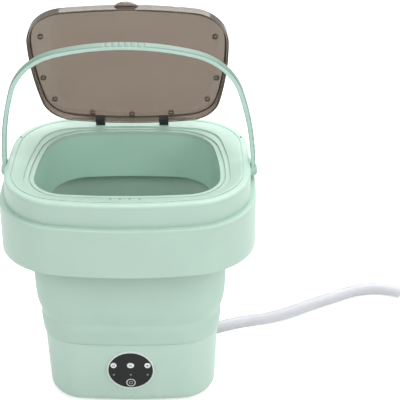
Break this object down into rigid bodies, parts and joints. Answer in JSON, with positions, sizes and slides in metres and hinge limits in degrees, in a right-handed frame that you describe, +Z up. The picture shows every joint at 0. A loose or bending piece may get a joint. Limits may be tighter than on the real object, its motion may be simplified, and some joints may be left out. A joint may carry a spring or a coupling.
{
  "type": "folding bucket washing machine",
  "caption": "Small mint folding washing machine with a soft collapsible tub, smoky hinged lid, carrying handle, oval key panel and drain hose",
  "frame": {"origin": "middle of the collar in plan, on the floor under the feet", "axes": "+Z up, -Y out of the control panel, +X to the right seen from the front"},
  "size_m": [0.5139, 0.2933, 0.4772],
  "materials": {
    "mint_plastic": "satin",
    "bright_mint_plastic": "satin gloss",
    "soft_mint_rubber": "soft matt",
    "smoky_clear": "clear smoked plastic",
    "white_plastic": "satin",
    "charcoal_gloss": "gloss",
    "dark_plastic": "satin",
    "pale_trim": "satin",
    "bright_metal": "polished",
    "steel": "brushed",
    "black_rubber": "matt",
    "hose_vinyl": "translucent soft vinyl",
    "bearing_bronze": "sintered",
    "circuit_board": "solder mask"
  },
  "bodies": {
    "base": {"base_shell": "mint_plastic", "base_plate": "dark_plastic", "base_screws": "steel", "rubber_feet": "black_rubber", "tub_floor": "white_plastic", "tub_screws": "steel", "folding_bucket": "soft_mint_rubber", "drain_strainer": "white_plastic", "drain_elbow": "white_plastic", "drain_spout": "white_plastic", "drain_hose": "hose_vinyl", "shaft_bush": "bearing_bronze", "shaft_seal": "black_rubber", "gearbox": "dark_plastic", "gearbox_screws": "steel", "motor": "steel", "control_panel": "charcoal_gloss", "panel_bezel": "pale_trim", "power_ring": "bright_metal", "indicator_lenses": "pale_trim", "control_board": "circuit_board", "key_switches": "dark_plastic", "power_inlet": "dark_plastic"},
    "agitator": {"drive_shaft": "steel", "pulsator": "white_plastic", "pulsator_screw": "steel", "pulsator_cap": "white_plastic"},
    "collar": {"collar_skirt": "mint_plastic", "top_ring": "mint_plastic", "collar_screws": "steel", "inner_sleeve": "mint_plastic", "bucket_clamp": "white_plastic", "clamp_screws": "steel", "handle_pins": "bright_mint_plastic", "hinge_blocks": "dark_plastic", "hinge_pins": "steel"},
    "lid": {"lid_panel": "smoky_clear", "lid_bumpers": "smoky_clear", "hinge_arms": "dark_plastic"},
    "handle": {"handle": "bright_mint_plastic"},
    "left_key_body": {"left_key": "white_plastic"},
    "middle_key_body": {"middle_key": "white_plastic"},
    "right_key_body": {"right_key": "white_plastic"},
    "power_key_body": {"power_key": "charcoal_gloss"}
  },
  "joints": [
    {"name": "collar_slide", "type": "slide", "parent": "base", "child": "collar", "axis": [0, 0, -1], "range_m": [0, 0.125], "deforming": ["folding_bucket"]},
    {"name": "lid_hinge", "type": "hinge", "parent": "collar", "child": "lid", "pos_m": [0, 0.0938, 0.297], "axis": [1, 0, 0], "range_deg": [-20, 70.5]},
    {"name": "handle_pivot", "type": "hinge", "parent": "collar", "child": "handle", "pos_m": [0, 0.006, 0.277], "axis": [1, 0, 0], "range_deg": [-18, 40]},
    {"name": "pulsator_spin", "type": "hinge", "parent": "base", "child": "agitator", "pos_m": [0, 0, 0.085], "axis": [0, 0, 1], "continuous": true},
    {"name": "left_key_press", "type": "slide", "parent": "base", "child": "left_key_body", "axis": [0, 1, 0], "range_m": [0, 0.0008], "stiffness_N_per_m": 800},
    {"name": "middle_key_press", "type": "slide", "parent": "base", "child": "middle_key_body", "axis": [0, 1, 0], "range_m": [0, 0.0008], "stiffness_N_per_m": 800},
    {"name": "right_key_press", "type": "slide", "parent": "base", "child": "right_key_body", "axis": [0, 1, 0], "range_m": [0, 0.0008], "stiffness_N_per_m": 800},
    {"name": "power_key_press", "type": "slide", "parent": "base", "child": "power_key_body", "axis": [0, 1, 0], "range_m": [0, 0.0008], "stiffness_N_per_m": 800}
  ]
}
